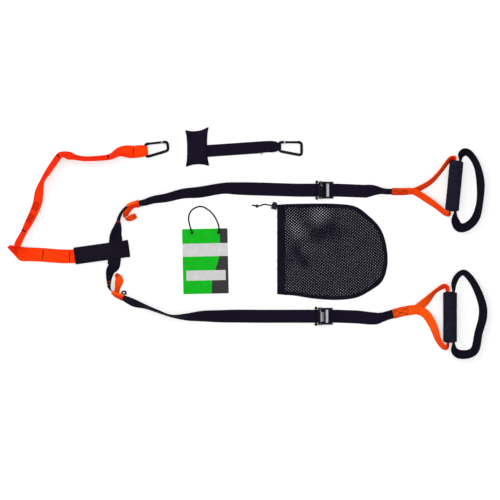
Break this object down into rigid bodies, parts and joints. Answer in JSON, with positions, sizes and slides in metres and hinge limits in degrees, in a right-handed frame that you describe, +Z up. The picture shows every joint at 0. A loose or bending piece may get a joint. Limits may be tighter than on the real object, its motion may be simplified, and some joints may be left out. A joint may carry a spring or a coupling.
{
  "type": "suspension trainer",
  "caption": "Webbing suspension trainer with cam buckles, foam handles, foot cradles, carabiners, door anchor, mesh bag and card, laid out flat.",
  "frame": {"origin": "centre of the laid-out set on the floor it lies on", "axes": "+X from the anchor sleeve to the handles, +Y across the layout, +Z up"},
  "size_m": [1.3128, 0.6301, 0.0423],
  "materials": {
    "black_webbing": "woven nylon",
    "orange_webbing": "woven nylon",
    "foam": "closed-cell foam",
    "plastic": "moulded",
    "black_metal": "black coating",
    "steel": "plain",
    "mesh_cloth": "knitted mesh",
    "card": "printed, no lettering"
  },
  "bodies": {
    "strap_set": {"anchor_sleeve": "black_webbing", "extender_strap": "orange_webbing", "main_strap": "black_webbing", "door_anchor_pillow": "black_webbing", "door_anchor_strap": "black_webbing", "bag_back_panel": "mesh_cloth", "bag_front_panel": "mesh_cloth", "bag_hem": "mesh_cloth", "bag_binding": "black_webbing", "drawcord": "black_webbing", "door_card": "card", "door_card_cord": "foam", "upper_top_strap": "black_webbing", "upper_adjust_strap_tail": "black_webbing", "upper_adjuster_tab": "orange_webbing", "upper_buckle_frame": "black_metal", "upper_cam_pin": "steel", "upper_cam_spring": "steel", "lower_top_strap": "black_webbing", "lower_adjust_strap_tail": "black_webbing", "lower_adjuster_tab": "orange_webbing", "lower_buckle_frame": "black_metal", "lower_cam_pin": "steel", "lower_cam_spring": "steel"},
    "main_carabiner": {"main_carabiner_body": "black_metal", "main_gate_rivet": "steel"},
    "main_gate": {"main_carabiner_gate": "black_metal"},
    "door_carabiner": {"door_carabiner_body": "black_metal", "door_gate_rivet": "steel"},
    "door_gate": {"door_carabiner_gate": "black_metal"},
    "upper_lever": {"upper_cam_lever": "black_metal"},
    "upper_handle": {"upper_adjust_strap_lead": "black_webbing", "upper_yoke": "orange_webbing"},
    "upper_grip": {"upper_handle_tube": "plastic", "upper_foam_grip": "foam"},
    "upper_cradle": {"upper_foot_cradle": "black_webbing"},
    "lower_lever": {"lower_cam_lever": "black_metal"},
    "lower_handle": {"lower_adjust_strap_lead": "black_webbing", "lower_yoke": "orange_webbing"},
    "lower_grip": {"lower_handle_tube": "plastic", "lower_foam_grip": "foam"},
    "lower_cradle": {"lower_foot_cradle": "black_webbing"},
    "cord_lock": {"cord_lock_barrel": "plastic", "cord_lock_spring": "steel"},
    "cord_lock_button": {"cord_lock_button": "plastic"}
  },
  "joints": [
    {"name": "main_carabiner_swing", "type": "hinge", "parent": "strap_set", "child": "main_carabiner", "pos_m": [-0.28185, 0.253, 0.0063], "axis": [0.1045, -0.9945, 0], "range_deg": [0, 100]},
    {"name": "main_gate_hinge", "type": "hinge", "parent": "main_carabiner", "child": "main_gate", "pos_m": [-0.23748, 0.27574, 0.0063], "axis": [0, 0, 1], "range_deg": [0, 26], "stiffness_Nm_per_rad": 0.12, "springref_deg": -6.88},
    {"name": "door_carabiner_swing", "type": "hinge", "parent": "strap_set", "child": "door_carabiner", "pos_m": [0.08459, 0.26386, 0.0063], "axis": [0, -1, 0], "range_deg": [0, 100]},
    {"name": "door_gate_hinge", "type": "hinge", "parent": "door_carabiner", "child": "door_gate", "pos_m": [0.10009, 0.27595, 0.0063], "axis": [0, 0, -1], "range_deg": [0, 26], "stiffness_Nm_per_rad": 0.12, "springref_deg": -6.88},
    {"name": "upper_cam_lever_hinge", "type": "hinge", "parent": "strap_set", "child": "upper_lever", "pos_m": [0.20011, 0.14438, 0.0125], "axis": [0, -1, 0], "range_deg": [0, 35], "stiffness_Nm_per_rad": 0.25, "springref_deg": -8.59},
    {"name": "upper_arm_length", "type": "slide", "parent": "strap_set", "child": "upper_handle", "axis": [1, 0, 0], "range_m": [0, 0.45], "deforming": ["upper_adjust_strap_lead"]},
    {"name": "upper_grip_spin", "type": "hinge", "parent": "upper_handle", "child": "upper_grip", "pos_m": [0.56502, 0.15565, 0.0192], "axis": [0.0958, 0.9954, 0], "continuous": true},
    {"name": "upper_cradle_swing", "type": "hinge", "parent": "upper_handle", "child": "upper_cradle", "pos_m": [0.56502, 0.15565, 0.0192], "axis": [-0.0958, -0.9954, 0], "range_deg": [0, 85]},
    {"name": "lower_cam_lever_hinge", "type": "hinge", "parent": "strap_set", "child": "lower_lever", "pos_m": [0.19805, -0.20212, 0.0125], "axis": [0, -1, 0], "range_deg": [0, 35], "stiffness_Nm_per_rad": 0.25, "springref_deg": -8.59},
    {"name": "lower_arm_length", "type": "slide", "parent": "strap_set", "child": "lower_handle", "axis": [1, 0, 0], "range_m": [0, 0.45], "deforming": ["lower_adjust_strap_lead"]},
    {"name": "lower_grip_spin", "type": "hinge", "parent": "lower_handle", "child": "lower_grip", "pos_m": [0.55346, -0.20433, 0.0192], "axis": [0, 1, 0], "continuous": true},
    {"name": "lower_cradle_swing", "type": "hinge", "parent": "lower_handle", "child": "lower_cradle", "pos_m": [0.55346, -0.20433, 0.0192], "axis": [0, -1, 0], "range_deg": [0, 85]},
    {"name": "cord_lock_slide", "type": "slide", "parent": "strap_set", "child": "cord_lock", "axis": [-0.9806, 0.1959, 0], "range_m": [0, 0.012]},
    {"name": "cord_lock_press", "type": "slide", "parent": "cord_lock", "child": "cord_lock_button", "axis": [-0.1959, -0.9806, 0], "range_m": [0, 0.004], "stiffness_N_per_m": 180, "springref_m": -0.002, "deforming": ["cord_lock_spring"]}
  ]
}
